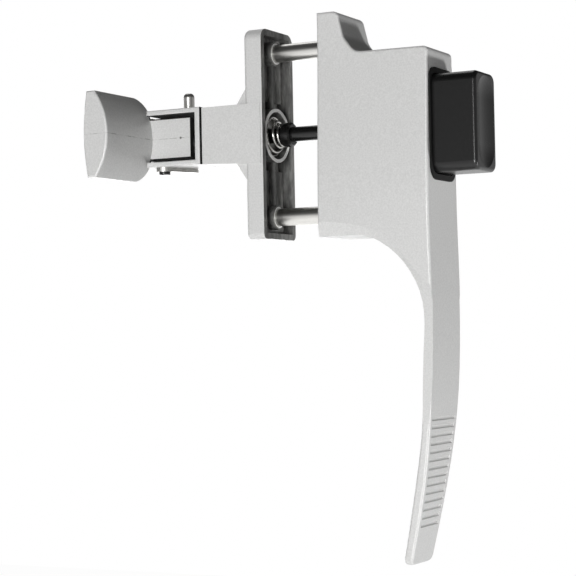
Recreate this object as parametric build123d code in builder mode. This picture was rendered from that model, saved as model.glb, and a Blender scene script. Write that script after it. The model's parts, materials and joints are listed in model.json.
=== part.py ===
# Storm door push button latch: outside pull handle with a push button, inside escutcheon with a swinging latch.
# Millimetres. +X points out of the house, +Z up, -Y is the side where the latch nose reaches over the jamb.
# The origin is on the plunger's axis, on the handle's back face, which lies on the door's outside.
import math
import os

from build123d import *

os.makedirs("parts", exist_ok=True)

# door and fasteners
door_gap = 16.2
post_spacing = 44.45
post_r = 2.38
post_stud_r = 1.9
post_stud_len = 5.6
screw_r = 1.45
screw_head_r = 3.5
screw_head_h = 1.9
screw_reach = 9.0
screw_relief = 1.0
screw_head_round = 1.2
drive_depth = 1.1
drive_len = 3.4
drive_w = 0.8
post_chamfer = 0.3
stud_relief = 0.6
set_screw_in = 2.6
hex_r = 0.8
hex_floor = 0.5
thread_short = 0.1

# fits
run_fit = 0.06
thread_fit = 0.03
slip_fit = 0.05
free_gap = 0.4
button_gap = 0.3
lug_play = 0.02
foot_gap = 0.3
seat_play = 0.02

# handle
handle_top_z = 30.6
block_top_z = 19.4
block_bottom_z = -28.5
handle_front_x = 31.5
handle_tip_z = -113.8
handle_edge_r = 0.6
tab_half = 8.2
tab_t = 6.0
tab_foot_t = 7.4
tab_foot_rise = 5.6
tab_round = 2.0
throat_t = 8.9
throat_rise = 2.6
shoulder_x = 13.0
shoulder_slope = 0.2
brow_round = 1.4
grip_start_z = -20.0
grip_swell = 0.35
grip_swell_z = -45.0
grip_even_back = 0.2
grip_even_z = -66.0
grip_bend_back = 3.1
grip_bend_z = -91.0
tip_front_x = 23.5
tip_back_x = 21.1
tip_round = 2.2
inner_low_x = 25.4
inner_low_z = -93.0
inner_mid_x = 28.0
inner_mid_z = -78.0
inner_high_x = 29.0
inner_high_z = -60.0
inner_top_x = 28.9
inner_top_z = -45.5
arch_x = 25.0
arch_z = -37.0
arch_foot_x = 19.0
arch_foot_drop = 2.8
block_foot_x = 11.0
side_top = 0.1
side_swell = 1.6
side_swell_high = 1.4
side_swell_high_z = -12.0
side_even = 0.9
side_even_z = -76.0
side_waist = 0.2
side_narrow = 1.0
side_narrow_z = -104.0
side_tip = 1.4
bevel_clear = 0.3
bevel_depth = 1.1
bevel_drop = 5.0
bevel_rise = 5.8
bevel_foot_rise = 4.7
bevel_foot_x = 6.0
bevel_mid_rise = 2.2
bevel_mid_x = 15.8
bevel_arch_drop = 2.4
bevel_arch_x = 22.5
bevel_grip_drop = 8.7
bevel_grip_x = 27.7
bevel_end_drop = 12.0
cavity_half_y = 7.15
cavity_top_z = 15.4
cavity_bottom_z = -17.0
cavity_corner_r = 1.0
front_wall = 2.1
groove_count = 14
groove_first_z = -76.2
groove_pitch = 2.11
groove_r = 0.55
groove_depth = 0.45
groove_border = 1.6

# back plate
plate_t = 1.2
plate_sink = 0.2
plate_half_y = 6.6
plate_corner_r = 1.9
plate_ledge = 0.8
plate_ledge_t = 1.6
plate_over = 5.2
plate_under = 3.8

# button
button_top_z = 12.2
button_bottom_z = -13.2
button_reach = 12.4
button_lug = 1.7
button_lug_t = 2.4
button_lug_inset = 0.2
button_corner_r = 2.4
button_face_t = 3.2
button_wall = 2.0
button_hub_r = 4.0
button_hub_x = 20.5
button_round = 0.9
button_dish = 0.9
button_dish_half = 5.6
seal_t = 0.5
seal_w = 0.9
seal_w_z = 1.5

# plunger
plunger_r = 2.0
plunger_grip = 6.0
rod_chamfer = 0.25
collar_r = 3.3
collar_t = 2.5
collar_x = -11.6
collar_chamfer = 0.5
foot_r = 4.5
foot_t = 1.2
foot_floor = 0.3
clip_t = 0.8
clip_r = 3.9
clip_groove = 0.35
clip_mouth = 2.8

# escutcheon
esc_half_y = 9.0
esc_over = 6.0
esc_depth = 5.5
esc_wall = 1.6
esc_top_r = 2.8
esc_bottom_r = 1.5
esc_edge_r = 1.1
esc_ledge = 1.2
well_half_z = 9.4
stem_half_y = 9.3
stem_half_z = 8.1
stem_end_x = -34.8
stem_draft = 0.8
stem_wall = 1.6
stem_back = 0.6
stem_floor = 1.4
gusset_x = 3.2
gusset_z = 4.0
gusset_sink = 0.7
ring_r = 7.3
ring_wall = 0.9
post_boss_wall = 0.9
boss_drop = 0.3
rib_t = 1.2
rib_drop = 1.5
washer_t = 0.8
washer_gap = 0.15

# clevis and latch
clevis_half_y = 7.2
clevis_half_z = 7.85
clevis_z = 0.9
clevis_arm = 1.38
clevis_web = 1.6
clevis_end_x = -53.85
clevis_gap = 2.0
clevis_edge_r = 0.35
tang_len = 5.5
tang_step = 1.5
tang_bore_r = 4.0
dimple_r = 0.95
dimple_depth = 0.8
pin_x = -46.55
pin_y = 4.0
pin_r = 1.3
knob_r = 1.55
knob_h = 5.6
knob_flat = 0.25
keeper_t = 1.2
keeper_w = 4.6
keeper_reach_x = 3.6
keeper_reach_y = 7.8
keeper_screw_r = 0.8
keeper_head_h = 0.9
latch_side_gap = 0.57
shank_step = 0.5
shank_step_y = 1.6
shank_near_y = -5.0
tail_x = -41.0
tail_finger = 2.4
tail_back = 1.0
shank_inset = 0.4
shank_slant_x = 4.5
shank_slant_y = 1.5
head_root = 0.6
hub_r = 2.6
catch_x = -53.2
head_t = 7.6
head_half_z = 11.65
head_nose_y = -28.0
catch_crown = 3.9
room_crown = 1.1
head_far_r = 4.2
latch_edge_r = 0.5
spring_slot = 3.4
slot_room_x = 1.5
slot_room_y = 0.2
leg_room = 0.4
leg_slot_w = 2.4

# springs
button_wire = 0.9
button_coil_r = 3.2
button_turns = 7
cone_wire = 0.8
cone_turns = 3
cone_gap = 0.4
latch_wire = 0.5
latch_turns = 4
latch_leg = 5.4
latch_coil_gap = 0.3
latch_wire_gap = 0.1
latch_leg_gap = 0.05

# positions that follow from the sizes above
rim_x = -door_gap
room_x = rim_x - esc_depth
floor_x = room_x + esc_wall
post_z = post_spacing / 2
plate_top_z = post_z + plate_over
plate_bottom_z = -post_z - plate_under
esc_half_z = post_z + esc_over
cavity_front_x = handle_front_x - front_wall
recess_x = plate_sink + plate_t
button_front_x = handle_front_x + button_reach
lug_front_x = cavity_front_x - lug_play
web_left_x = stem_end_x - clevis_gap - clevis_web
foot_left_x = tail_x + foot_gap
window_half_z = clevis_half_z - clevis_arm
latch_half_z = window_half_z - latch_side_gap
tang_half_y = clevis_half_y - tang_step
tang_z = stem_draft / 2
tang_h = 2 * (stem_half_z - stem_wall) - stem_draft
arm_top_z = clevis_z + clevis_half_z
arm_bottom_z = clevis_z - clevis_half_z
button_half_y = cavity_half_y - button_gap
dish_r = (button_dish_half**2 + button_dish**2) / (2 * button_dish)
head_room_x = catch_x - head_t
head_top_z = clevis_z + head_half_z
head_bottom_z = clevis_z - head_half_z
bevel_start = tab_half + side_swell + bevel_clear
keeper_x = pin_x - keeper_reach_x
keeper_y = pin_y - keeper_reach_y
set_screw_x = stem_end_x + set_screw_in
set_screw_z = stem_half_z - stem_wall - slip_fit


def reach_at_height(curve, height):
    low, high = 0.0, 1.0
    for _ in range(40):
        middle = (low + high) / 2
        if (curve @ middle).Y > height:
            low = middle
        else:
            high = middle
    return (curve @ low).X


# outside handle: side profile crossed with front outline, then hollowed from the back
with BuildPart() as handle:
    with BuildSketch(Plane.XZ) as side:
        with BuildLine():
            brow_z = block_top_z - shoulder_slope
            Line((0, block_bottom_z), (0, handle_top_z))
            Line((0, handle_top_z), (tab_t, handle_top_z))
            Line((tab_t, handle_top_z), (tab_foot_t, block_top_z + tab_foot_rise))
            Spline(
                (tab_foot_t, block_top_z + tab_foot_rise),
                (throat_t, block_top_z + throat_rise),
                (shoulder_x, block_top_z),
                tangents=((0.12, -1), (1, 0)),
            )
            Line((shoulder_x, block_top_z), (handle_front_x, brow_z))
            Line((handle_front_x, brow_z), (handle_front_x, grip_start_z))
            grip_front = Spline(
                (handle_front_x, grip_start_z),
                (handle_front_x + grip_swell, grip_swell_z),
                (handle_front_x - grip_even_back, grip_even_z),
                (handle_front_x - grip_bend_back, grip_bend_z),
                (tip_front_x, handle_tip_z),
                tangents=((0, -1), (-0.24, -1)),
            )
            Line((tip_front_x, handle_tip_z), (tip_back_x, handle_tip_z))
            Spline(
                (tip_back_x, handle_tip_z),
                (inner_low_x, inner_low_z),
                (inner_mid_x, inner_mid_z),
                (inner_high_x, inner_high_z),
                (inner_top_x, inner_top_z),
                (arch_x, arch_z),
                (arch_foot_x, block_bottom_z - arch_foot_drop),
                (block_foot_x, block_bottom_z),
                tangents=((0.22, 1), (-1, 0)),
            )
            Line((block_foot_x, block_bottom_z), (0, block_bottom_z))
        make_face()
    extrude(amount=2 * tab_half, both=True)
    with BuildSketch(Plane.YZ) as front:
        with BuildLine():
            tip_half = tab_half - side_tip
            edge = Spline(
                (tab_half, handle_top_z),
                (tab_half + side_top, block_top_z),
                (tab_half + side_swell_high, side_swell_high_z),
                (tab_half + side_swell, grip_swell_z),
                (tab_half + side_even, side_even_z),
                (tab_half - side_waist, grip_bend_z),
                (tab_half - side_narrow, side_narrow_z),
                (tip_half, handle_tip_z),
            )
            Line((0, handle_top_z), (tab_half, handle_top_z))
            Line((tip_half, handle_tip_z), (0, handle_tip_z))
            mirror(about=Plane.YZ)
        make_face()
        fillet(front.vertices().group_by(Axis.Y)[0].sort_by(Axis.X)[0], tip_round)
        fillet(front.vertices().group_by(Axis.Y)[0].sort_by(Axis.X)[-1], tip_round)
    extrude(amount=2 * handle_front_x, both=True, mode=Mode.INTERSECT)
    # round the tab's outer edge, the block's front edge and both side outlines
    fillet(handle.edges().filter_by(Axis.Y).group_by(Axis.Z)[-1].sort_by(Axis.X)[-1], tab_round)
    brow_edges = handle.edges().filter_by(Axis.Y).filter_by_position(Axis.Z, brow_z - run_fit, brow_z + run_fit)
    fillet(brow_edges, brow_round)
    outlines = [side_face.edges() for side_face in handle.faces().sort_by(SortBy.AREA)[-2:]]
    fillet(outlines[0] + outlines[1], handle_edge_r)
    # slanted bevel on both sides under the block and down the grip
    bevel_reach = handle_front_x + bevel_end_drop
    bevel_low_z = handle_tip_z - bevel_end_drop
    for flip in (1, -1):
        with BuildSketch(Plane.XZ.offset(flip * bevel_start)) as bevel:
            with BuildLine():
                Spline(
                    (-bevel_foot_x, block_bottom_z + bevel_rise),
                    (bevel_foot_x, block_bottom_z + bevel_foot_rise),
                    (bevel_mid_x, block_bottom_z + bevel_mid_rise),
                    (bevel_arch_x, block_bottom_z - bevel_arch_drop),
                    (bevel_grip_x, block_bottom_z - bevel_grip_drop),
                    (bevel_reach, block_bottom_z - bevel_end_drop),
                )
                Line((bevel_reach, block_bottom_z - bevel_end_drop), (bevel_reach, bevel_low_z))
                Line((bevel_reach, bevel_low_z), (-bevel_foot_x, bevel_low_z))
                Line((-bevel_foot_x, bevel_low_z), (-bevel_foot_x, block_bottom_z + bevel_rise))
            make_face()
        extrude(
            amount=math.hypot(bevel_depth, bevel_drop),
            dir=(0, flip * bevel_depth, -bevel_drop),
            mode=Mode.SUBTRACT,
        )
    # grip grooves across the lower front
    for i in range(groove_count):
        gz = groove_first_z - i * groove_pitch
        gx = reach_at_height(grip_front, gz)
        gw = reach_at_height(edge, gz)
        with Locations((gx + groove_r - groove_depth, 0, gz)):
            Cylinder(groove_r, 2 * (gw - groove_border), rotation=(90, 0, 0), mode=Mode.SUBTRACT)
    # back recess for the plate, then the hollow behind the button
    plate_mid_z = (plate_top_z + plate_bottom_z) / 2
    with BuildSketch(Plane.YZ):
        with Locations((0, plate_mid_z)):
            RectangleRounded(
                2 * (plate_half_y + slip_fit),
                plate_top_z - plate_bottom_z + 2 * slip_fit,
                plate_corner_r + slip_fit,
            )
    extrude(amount=recess_x, mode=Mode.SUBTRACT)
    cavity_mid_z = (cavity_top_z + cavity_bottom_z) / 2
    with BuildSketch(Plane.YZ.offset(recess_x)):
        with Locations((0, cavity_mid_z)):
            Rectangle(2 * (plate_half_y - plate_ledge), cavity_top_z - cavity_bottom_z)
    extrude(amount=2 * plate_ledge_t, mode=Mode.SUBTRACT)
    with BuildSketch(Plane.YZ.offset(recess_x + plate_ledge_t)):
        with Locations((0, cavity_mid_z)):
            RectangleRounded(2 * cavity_half_y, cavity_top_z - cavity_bottom_z, cavity_corner_r)
    extrude(amount=cavity_front_x - recess_x - plate_ledge_t, mode=Mode.SUBTRACT)
    button_mid_z = (button_top_z + button_bottom_z) / 2
    button_h = button_top_z - button_bottom_z
    with BuildSketch(Plane.YZ.offset(cavity_front_x - front_wall)):
        with Locations((0, button_mid_z)):
            RectangleRounded(2 * cavity_half_y, button_h + 2 * button_gap, button_corner_r + button_gap)
    extrude(amount=4 * front_wall, mode=Mode.SUBTRACT)
    # threaded holes for the posts
    with BuildSketch(Plane.YZ.offset(recess_x)):
        with Locations((0, post_z), (0, -post_z)):
            Circle(post_stud_r + thread_fit)
    extrude(amount=post_stud_len - plate_t + stud_relief, mode=Mode.SUBTRACT)
handle.part.label = "handle"
export_step(handle.part, "parts/handle.step")

# steel plate that closes the handle's back and carries the plunger
with BuildPart() as back_plate:
    with BuildSketch(Plane.YZ.offset(plate_sink)):
        with Locations((0, plate_mid_z)):
            RectangleRounded(2 * plate_half_y, plate_top_z - plate_bottom_z, plate_corner_r)
        with Locations((0, post_z), (0, -post_z)):
            Circle(post_stud_r + slip_fit, mode=Mode.SUBTRACT)
        Circle(plunger_r + run_fit, mode=Mode.SUBTRACT)
    extrude(amount=plate_t)
back_plate.part.label = "back_plate"
export_step(back_plate.part, "parts/back_plate.step")

# two shouldered posts, threaded into the handle, tapped for the inside screws
post_end_x = floor_x
with BuildPart() as upper_post:
    with BuildSketch(Plane.YZ.offset(plate_sink)):
        with Locations((0, post_z)):
            Circle(post_r)
    extrude(amount=post_end_x - plate_sink)
    chamfer(upper_post.edges().group_by(Axis.X)[0], post_chamfer)
    with BuildSketch(Plane.YZ.offset(plate_sink)):
        with Locations((0, post_z)):
            Circle(post_stud_r)
    extrude(amount=post_stud_len)
    with BuildSketch(Plane.YZ.offset(post_end_x)):
        with Locations((0, post_z)):
            Circle(screw_r + thread_fit)
    extrude(amount=screw_reach + screw_relief, mode=Mode.SUBTRACT)
upper_post.part.label = "upper_post"
export_step(upper_post.part, "parts/upper_post.step")

with BuildPart() as lower_post:
    add(upper_post.part.moved(Location((0, 0, -post_spacing))))
lower_post.part.label = "lower_post"
export_step(lower_post.part, "parts/lower_post.step")

# push button: hollow cap with a hub for the plunger and two lugs that hold it behind the front wall
with BuildPart() as button:
    with BuildSketch(Plane.YZ.offset(lug_front_x - button_lug_t)):
        with Locations((0, button_mid_z)):
            RectangleRounded(2 * button_half_y, button_h, button_corner_r)
    extrude(amount=button_front_x - lug_front_x + button_lug_t)
    fillet(button.faces().sort_by(Axis.X)[-1].edges(), button_round)
    dish_x = button_front_x + dish_r - button_dish
    dish_end = button_h / 2 - button_round - button_dish_half
    with Locations((dish_x, 0, button_mid_z)):
        Cylinder(dish_r, 2 * dish_end, mode=Mode.SUBTRACT)
    with Locations((dish_x, 0, button_mid_z + dish_end), (dish_x, 0, button_mid_z - dish_end)):
        Sphere(dish_r, mode=Mode.SUBTRACT)
    with BuildSketch(Plane.YZ.offset(lug_front_x - button_lug_t)):
        with Locations((0, button_mid_z)):
            RectangleRounded(
                2 * (button_half_y - button_lug_inset), button_h + 2 * button_lug, cavity_corner_r
            )
    extrude(amount=button_lug_t)
    with BuildSketch(Plane.YZ.offset(lug_front_x - button_lug_t)):
        with Locations((0, button_mid_z)):
            RectangleRounded(
                2 * (button_half_y - button_wall), button_h - 2 * button_wall, button_corner_r / 2
            )
    extrude(amount=button_front_x - button_face_t - lug_front_x + button_lug_t, mode=Mode.SUBTRACT)
    with BuildSketch(Plane.YZ.offset(button_hub_x)):
        Circle(button_hub_r)
    extrude(amount=button_front_x - button_face_t / 2 - button_hub_x)
    with BuildSketch(Plane.YZ.offset(button_hub_x)):
        Circle(plunger_r + thread_fit)
    extrude(amount=plunger_grip, mode=Mode.SUBTRACT)
button.part.label = "button"
export_step(button.part, "parts/button.step")

# rubber seal on the handle's front, round the button
with BuildPart() as button_seal:
    with BuildSketch(Plane.YZ.offset(handle_front_x)):
        with Locations((0, button_mid_z)):
            RectangleRounded(
                2 * (cavity_half_y + seal_w),
                button_h + 2 * (button_gap + seal_w_z),
                button_corner_r + button_gap + seal_w,
            )
            RectangleRounded(
                2 * cavity_half_y,
                button_h + 2 * button_gap,
                button_corner_r + button_gap,
                mode=Mode.SUBTRACT,
            )
    extrude(amount=seal_t)
button_seal.part.label = "button_seal"
export_step(button_seal.part, "parts/button_seal.step")

# plunger rod from the button's hub through the door to the push foot
plunger_end_x = foot_left_x + foot_floor
with BuildPart() as plunger:
    with BuildSketch(Plane.YZ.offset(plunger_end_x)):
        Circle(plunger_r)
    extrude(amount=button_hub_x + plunger_grip - plunger_end_x)
    chamfer(plunger.edges(), rod_chamfer)
    with BuildSketch(Plane.YZ.offset(button_hub_x - clip_t - slip_fit)):
        Circle(plunger_r + clip_groove)
        Circle(plunger_r - clip_groove, mode=Mode.SUBTRACT)
    extrude(amount=clip_t + slip_fit, mode=Mode.SUBTRACT)
plunger.part.label = "plunger"
export_step(plunger.part, "parts/plunger.step")

# retaining clip in the plunger's groove, which is also the button spring's seat
with BuildPart() as plunger_clip:
    with BuildSketch(Plane.YZ.offset(button_hub_x - clip_t)):
        Circle(clip_r)
        Circle(plunger_r - clip_groove + thread_fit, mode=Mode.SUBTRACT)
        with Locations((clip_r, 0)):
            Rectangle(2 * clip_r, clip_mouth, mode=Mode.SUBTRACT)
    extrude(amount=clip_t)
plunger_clip.part.label = "plunger_clip"
export_step(plunger_clip.part, "parts/plunger_clip.step")

# collar pressed on the plunger in the door gap, the seat of the tapered spring
with BuildPart() as spring_collar:
    with BuildSketch(Plane.YZ.offset(collar_x - collar_t)):
        Circle(collar_r)
        Circle(plunger_r + thread_fit, mode=Mode.SUBTRACT)
    extrude(amount=collar_t)
    chamfer(spring_collar.edges().group_by(Axis.X)[-1].sort_by(SortBy.RADIUS)[-1], collar_chamfer)
spring_collar.part.label = "spring_collar"
export_step(spring_collar.part, "parts/spring_collar.step")

# foot on the plunger's inner end, which pushes the latch's tail
with BuildPart() as push_foot:
    with BuildSketch(Plane.YZ.offset(foot_left_x)):
        Circle(foot_r)
    extrude(amount=foot_t)
    chamfer(push_foot.edges().group_by(Axis.X)[0], rod_chamfer)
    with BuildSketch(Plane.YZ.offset(plunger_end_x)):
        Circle(plunger_r + thread_fit)
    extrude(amount=foot_t, mode=Mode.SUBTRACT)
push_foot.part.label = "push_foot"
export_step(push_foot.part, "parts/push_foot.step")

# inside escutcheon: T-shaped casting, open towards the door, with a hollow stem
with BuildPart() as escutcheon:
    with BuildSketch(Plane.YZ.offset(room_x)) as flange:
        Rectangle(2 * esc_half_y, 2 * esc_half_z)
        fillet(flange.vertices().group_by(Axis.Y)[-1], esc_top_r)
        fillet(flange.vertices().group_by(Axis.Y)[0], esc_bottom_r)
    extrude(amount=esc_depth)
    fillet(escutcheon.edges().group_by(Axis.X)[0], esc_edge_r)
    with BuildSketch(Plane.XZ):
        with BuildLine():
            Polyline(
                (rim_x - stem_back, stem_half_z),
                (rim_x - stem_back, -stem_half_z),
                (stem_end_x, stem_draft - stem_half_z),
                (stem_end_x, stem_half_z),
                close=True,
            )
        make_face()
    extrude(amount=stem_half_y, both=True)
    with BuildSketch(Plane.XZ):
        with BuildLine():
            Polyline(
                (room_x + gusset_sink, stem_half_z + gusset_z),
                (room_x, stem_half_z + gusset_z),
                (room_x - gusset_x, stem_half_z - gusset_sink),
                (room_x - gusset_x, -stem_half_z + gusset_sink),
                (room_x, -stem_half_z - gusset_z),
                (room_x + gusset_sink, -stem_half_z - gusset_z),
                close=True,
            )
        make_face()
    extrude(amount=esc_half_y - gusset_sink, both=True)
    # hollow behind the flange and through the stem
    with BuildSketch(Plane.YZ.offset(floor_x + esc_ledge)) as hollow:
        Rectangle(2 * (esc_half_y - esc_wall), 2 * (esc_half_z - esc_wall))
        fillet(hollow.vertices().group_by(Axis.Y)[-1], esc_top_r - esc_wall)
        fillet(hollow.vertices().group_by(Axis.Y)[0], esc_bottom_r / 3)
    extrude(amount=esc_depth, mode=Mode.SUBTRACT)
    with BuildSketch(Plane.YZ.offset(floor_x)):
        Rectangle(2 * (esc_half_y - esc_wall), 2 * well_half_z)
    extrude(amount=esc_depth, mode=Mode.SUBTRACT)
    with BuildSketch(Plane.YZ.offset(floor_x)):
        Circle(ring_r)
        with Locations((0, post_z), (0, -post_z)):
            Circle(post_r + slip_fit + post_boss_wall)
    extrude(amount=esc_depth - esc_wall - boss_drop)
    with BuildSketch(Plane.YZ.offset(floor_x)):
        with Locations((0, (post_z + ring_r) / 2), (0, -(post_z + ring_r) / 2)):
            Rectangle(rib_t, post_z - ring_r)
    extrude(amount=esc_depth - esc_wall - rib_drop)
    with BuildSketch(Plane.YZ.offset(floor_x)):
        Circle(ring_r - ring_wall)
    extrude(amount=esc_depth, mode=Mode.SUBTRACT)
    with BuildSketch(Plane.YZ.offset(stem_end_x)):
        with Locations((0, tang_z)):
            Rectangle(2 * (tang_half_y + slip_fit), tang_h)
    extrude(amount=floor_x - stem_floor - stem_end_x, mode=Mode.SUBTRACT)
    with BuildSketch(Plane.YZ.offset(floor_x - 2 * stem_floor)):
        Circle(plunger_r + free_gap)
    extrude(amount=4 * stem_floor, mode=Mode.SUBTRACT)
    # post sockets and countersunk screw holes
    with BuildSketch(Plane.YZ.offset(floor_x)):
        with Locations((0, post_z), (0, -post_z)):
            Circle(post_r + slip_fit)
    extrude(amount=esc_depth, mode=Mode.SUBTRACT)
    with BuildSketch(Plane.YZ.offset(room_x - esc_wall)):
        with Locations((0, post_z), (0, -post_z)):
            Circle(screw_r + slip_fit)
    extrude(amount=3 * esc_wall, mode=Mode.SUBTRACT)
    # hole for the clevis set screw in the stem's top
    with Locations((set_screw_x, 0, stem_half_z)):
        Cylinder(screw_r + thread_fit, 4 * stem_wall, mode=Mode.SUBTRACT)
escutcheon.part.label = "escutcheon"
export_step(escutcheon.part, "parts/escutcheon.step")

# two pan head screws from the room side into the posts
with BuildPart() as upper_screw:
    with BuildSketch(Plane.YZ.offset(room_x)):
        with Locations((0, post_z)):
            Circle(screw_head_r)
    extrude(amount=-screw_head_h)
    fillet(upper_screw.edges().group_by(Axis.X)[0], screw_head_round)
    with BuildSketch(Plane.YZ.offset(room_x)):
        with Locations((0, post_z)):
            Circle(screw_r)
    extrude(amount=esc_wall + screw_reach)
    with Locations((room_x - screw_head_h, 0, post_z)):
        Box(2 * drive_depth, drive_len, drive_w, mode=Mode.SUBTRACT)
        Box(2 * drive_depth, drive_w, drive_len, mode=Mode.SUBTRACT)
upper_screw.part.label = "upper_screw"
export_step(upper_screw.part, "parts/upper_screw.step")

with BuildPart() as lower_screw:
    add(upper_screw.part.moved(Location((0, 0, -post_spacing))))
lower_screw.part.label = "lower_screw"
export_step(lower_screw.part, "parts/lower_screw.step")

# clevis: two thin arms on a web, with a tang that plugs into the stem
with BuildPart() as clevis:
    with BuildSketch(Plane.XZ):
        with BuildLine():
            Polyline(
                (clevis_end_x, arm_top_z),
                (web_left_x + clevis_web, arm_top_z),
                (web_left_x + clevis_web, arm_bottom_z),
                (clevis_end_x, arm_bottom_z),
                (clevis_end_x, clevis_z - window_half_z),
                (web_left_x, clevis_z - window_half_z),
                (web_left_x, clevis_z + window_half_z),
                (clevis_end_x, clevis_z + window_half_z),
                close=True,
            )
        make_face()
    extrude(amount=clevis_half_y, both=True)
    fillet(clevis.edges().group_by(Axis.Y)[0] + clevis.edges().group_by(Axis.Y)[-1], clevis_edge_r)
    with BuildSketch(Plane.YZ.offset(web_left_x + clevis_web)):
        with Locations((0, tang_z)):
            Rectangle(2 * tang_half_y, tang_h - 2 * slip_fit)
    extrude(amount=clevis_gap + tang_len)
    with Locations((web_left_x, 0, 0)):
        Cylinder(plunger_r + run_fit, 4 * clevis_web, rotation=(0, 90, 0), mode=Mode.SUBTRACT)
    with BuildSketch(Plane.YZ.offset(web_left_x + clevis_web)):
        Circle(tang_bore_r)
    extrude(amount=2 * tang_len, mode=Mode.SUBTRACT)
    with Locations((pin_x, pin_y, 0)):
        Cylinder(pin_r + slip_fit, 4 * clevis_half_z, mode=Mode.SUBTRACT)
    with Locations((keeper_x, keeper_y, arm_bottom_z)):
        Cylinder(keeper_screw_r + thread_fit, 4 * clevis_arm, mode=Mode.SUBTRACT)
    with Locations((set_screw_x, 0, set_screw_z)):
        Cylinder(dimple_r, 2 * dimple_depth, mode=Mode.SUBTRACT)
clevis.part.label = "clevis"
export_step(clevis.part, "parts/clevis.step")

# set screw through the stem's top that bears on the clevis tang
with BuildPart() as clevis_screw:
    with BuildSketch(Plane.XY.offset(set_screw_z)):
        with Locations((set_screw_x, 0)):
            Circle(screw_r)
    extrude(amount=stem_wall - thread_short)
    with BuildSketch(Plane.XY.offset(set_screw_z + hex_floor)):
        with Locations((set_screw_x, 0)):
            RegularPolygon(hex_r, 6)
    extrude(amount=stem_wall, mode=Mode.SUBTRACT)
clevis_screw.part.label = "clevis_screw"
export_step(clevis_screw.part, "parts/clevis_screw.step")

# latch: shank in the clevis, finger on the tail, and a crowned head that reaches over the jamb
with BuildPart() as latch:
    with BuildSketch(Plane.XY.offset(clevis_z)) as plan:
        with BuildLine():
            Polyline(
                (head_room_x + shank_inset, shank_near_y),
                (tail_x, shank_near_y),
                (tail_x, shank_near_y + tail_finger),
                (pin_x + tail_back, shank_near_y + tail_finger),
                (pin_x + tail_back, pin_y),
                (pin_x, pin_y + hub_r),
                (head_room_x + shank_slant_x, pin_y + hub_r),
                (head_room_x + shank_inset, pin_y - shank_slant_y),
                close=True,
            )
        make_face()
        with Locations((pin_x, pin_y)):
            Circle(hub_r)
    extrude(amount=latch_half_z, both=True)
    with BuildSketch(Plane.XZ.offset(-shank_near_y - head_root)) as lens:
        with BuildLine():
            ThreePointArc(
                (catch_x - catch_crown, head_top_z),
                (catch_x, clevis_z),
                (catch_x - catch_crown, head_bottom_z),
            )
            Line((catch_x - catch_crown, head_bottom_z), (head_room_x + room_crown, head_bottom_z))
            ThreePointArc(
                (head_room_x + room_crown, head_bottom_z),
                (head_room_x, clevis_z),
                (head_room_x + room_crown, head_top_z),
            )
            Line((head_room_x + room_crown, head_top_z), (catch_x - catch_crown, head_top_z))
        make_face()
    extrude(amount=shank_near_y + head_root - head_nose_y)
    far_edges = latch.edges().filter_by(Axis.X).filter_by_position(Axis.Z, head_bottom_z, head_top_z)
    fillet(far_edges.group_by(Axis.Z)[0].sort_by(Axis.Y)[-1], head_far_r)
    fillet(latch.edges().filter_by(Axis.X).group_by(Axis.Z)[-1].sort_by(Axis.Y)[-1], head_far_r)
    fillet(latch.edges().group_by(Axis.Y)[0], latch_edge_r)
    # rebates along the shank's near face, which leave a shadow gap beside the arms
    for side in (1, -1):
        with Locations(((catch_x + tail_x) / 2, shank_near_y, clevis_z + side * latch_half_z)):
            Box(tail_x - catch_x, 2 * shank_step_y, 2 * shank_step, mode=Mode.SUBTRACT)
    with Locations((pin_x, pin_y, 0)):
        Cylinder(pin_r + run_fit, 4 * latch_half_z, mode=Mode.SUBTRACT)
    with BuildSketch(Plane.XY.offset(clevis_z - spring_slot / 2)):
        with Locations((pin_x, pin_y)):
            Rectangle(2 * (hub_r + slot_room_x), 2 * (hub_r + slot_room_y))
        with Locations((pin_x - latch_leg / 2 - leg_room, pin_y + hub_r)):
            Rectangle(latch_leg + 2 * leg_room, leg_slot_w)
    extrude(amount=spring_slot, mode=Mode.SUBTRACT)
latch.part.label = "latch"
export_step(latch.part, "parts/latch.step")

# hinge pin with its domed top, and the keeper under the lower arm
with BuildPart() as hinge_pin:
    with BuildSketch(Plane.XY.offset(arm_bottom_z - keeper_t)):
        with Locations((pin_x, pin_y)):
            Circle(pin_r)
    extrude(amount=2 * clevis_half_z + keeper_t)
    with BuildSketch(Plane.XY.offset(arm_top_z)):
        with Locations((pin_x, pin_y)):
            Circle(knob_r)
    extrude(amount=knob_h)
    fillet(hinge_pin.edges().group_by(Axis.Z)[-1], knob_r - knob_flat)
hinge_pin.part.label = "hinge_pin"
export_step(hinge_pin.part, "parts/hinge_pin.step")

keeper_turn = math.degrees(math.atan2(keeper_reach_y, keeper_reach_x))
with BuildPart() as pin_keeper:
    with BuildSketch(Plane.XY.offset(arm_bottom_z - keeper_t)):
        with Locations(((pin_x + keeper_x) / 2, (pin_y + keeper_y) / 2)):
            SlotCenterToCenter(math.hypot(keeper_reach_x, keeper_reach_y), keeper_w, rotation=keeper_turn)
        with Locations((pin_x, pin_y)):
            Circle(pin_r + slip_fit, mode=Mode.SUBTRACT)
        with Locations((keeper_x, keeper_y)):
            Circle(keeper_screw_r + slip_fit, mode=Mode.SUBTRACT)
    extrude(amount=keeper_t)
pin_keeper.part.label = "pin_keeper"
export_step(pin_keeper.part, "parts/pin_keeper.step")

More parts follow.
